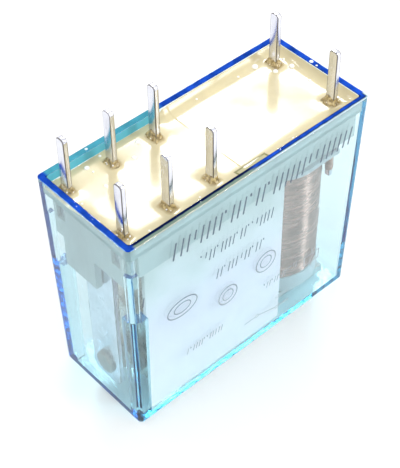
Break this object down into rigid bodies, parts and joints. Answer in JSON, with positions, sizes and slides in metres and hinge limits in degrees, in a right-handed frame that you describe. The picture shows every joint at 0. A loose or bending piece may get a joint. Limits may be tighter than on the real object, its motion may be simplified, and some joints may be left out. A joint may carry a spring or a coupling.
{
  "type": "plug-in relay",
  "caption": "Slim sealed plug-in relay: clear tinted cover over a coil, hinged armature, sliding card and a changeover contact, with flat pins in two rows.",
  "frame": {"origin": "centre of the cover's closed face", "axes": "+Z out of the pin side; +X along the length towards the coil pins; +Y across the width"},
  "size_m": [0.029, 0.0124, 0.0302],
  "materials": {
    "tinted_cover": "clear blue polycarbonate, glossy",
    "base_plastic": "moulded thermoset, matt",
    "resin": "cast sealing resin, glossy",
    "bobbin_plastic": "moulded, satin",
    "winding": "enamelled copper wire, satin",
    "iron": "nickel-plated soft iron, satin",
    "clip_steel": "spring steel, satin",
    "tinned": "tinned copper alloy, bright",
    "spring_bronze": "rolled spring bronze, satin",
    "contact_silver": "silver alloy, satin",
    "card_plastic": "moulded, satin",
    "barrier_plastic": "moulded, translucent white"
  },
  "bodies": {
    "housing": {"cover": "tinted_cover", "base_header": "base_plastic", "sealing_resin": "resin", "bobbin": "bobbin_plastic", "coil_winding": "winding", "core": "iron", "yoke": "iron", "armature_clip": "clip_steel", "clip_rivets": "clip_steel", "coil_pin_front": "tinned", "coil_pin_back": "tinned", "coil_lead_front": "winding", "coil_lead_back": "winding", "no_terminal": "tinned", "nc_terminal": "tinned", "com_terminal": "tinned", "no_contact": "contact_silver", "nc_contact": "contact_silver", "spring_rivets": "clip_steel", "contact_barrier": "barrier_plastic"},
    "armature": {"armature": "iron"},
    "card": {"actuator_card": "card_plastic"},
    "contact_arm": {"contact_spring": "spring_bronze", "moving_contact": "contact_silver"}
  },
  "joints": [
    {"name": "armature_hinge", "type": "hinge", "parent": "housing", "child": "armature", "pos_m": [0.0022, 0, 0.00245], "axis": [0, -1, 0], "range_deg": [0, 3.5], "stiffness_Nm_per_rad": 0.002, "springref_deg": -5.73},
    {"name": "card_slide", "type": "slide", "parent": "housing", "child": "card", "axis": [-1, 0, 0], "range_m": [0, 0.00036]},
    {"name": "contact_flex", "type": "hinge", "parent": "housing", "child": "contact_arm", "pos_m": [-0.00775, 0, 0.0172], "axis": [0, 1, 0], "range_deg": [0, 2.3]}
  ],
  "couplings": [
    {"joint": "card_slide", "follows": "armature_hinge", "m_per_rad": 0.00575},
    {"joint": "contact_flex", "follows": "armature_hinge", "ratio": 0.6389}
  ]
}
